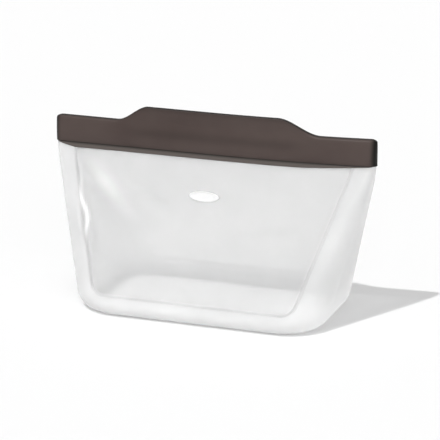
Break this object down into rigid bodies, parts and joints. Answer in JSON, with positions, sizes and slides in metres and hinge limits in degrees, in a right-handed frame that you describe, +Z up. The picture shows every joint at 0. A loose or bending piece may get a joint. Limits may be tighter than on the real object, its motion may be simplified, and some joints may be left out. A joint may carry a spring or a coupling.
{
  "type": "reusable silicone bag",
  "caption": "Stand-up reusable silicone storage bag with clear tapered body, thin front and rear panels and a press-to-close mouth with dark lips and pull tabs.",
  "frame": {"origin": "middle of the base, on the surface that the bag stands on", "axes": "+X along the mouth, to the right as seen from the front; -Y towards the front panel with the badge; +Z up"},
  "size_m": [0.215, 0.092, 0.13],
  "materials": {
    "clear_frame": "frosted translucent silicone",
    "clear_panel": "thin translucent silicone",
    "dark_lip": "satin silicone",
    "badge_white": "raised matte silicone"
  },
  "bodies": {
    "bag": {"base_pan": "clear_frame", "left_gusset": "clear_frame", "right_gusset": "clear_frame", "left_mouth_joint": "dark_lip", "right_mouth_joint": "dark_lip"},
    "front_leaf": {"front_panel": "clear_panel", "front_lip": "dark_lip", "front_seal_bead": "dark_lip", "front_badge": "badge_white"},
    "rear_leaf": {"rear_panel": "clear_panel", "rear_lip": "dark_lip", "rear_seal_channel": "dark_lip"}
  },
  "joints": [
    {"name": "front_open", "type": "hinge", "parent": "bag", "child": "front_leaf", "pos_m": [0, -0.04501, 0.01301], "axis": [1, 0, 0], "range_deg": [0, 18]},
    {"name": "rear_open", "type": "hinge", "parent": "bag", "child": "rear_leaf", "pos_m": [0, 0.04501, 0.01301], "axis": [-1, 0, 0], "range_deg": [0, 18]}
  ]
}
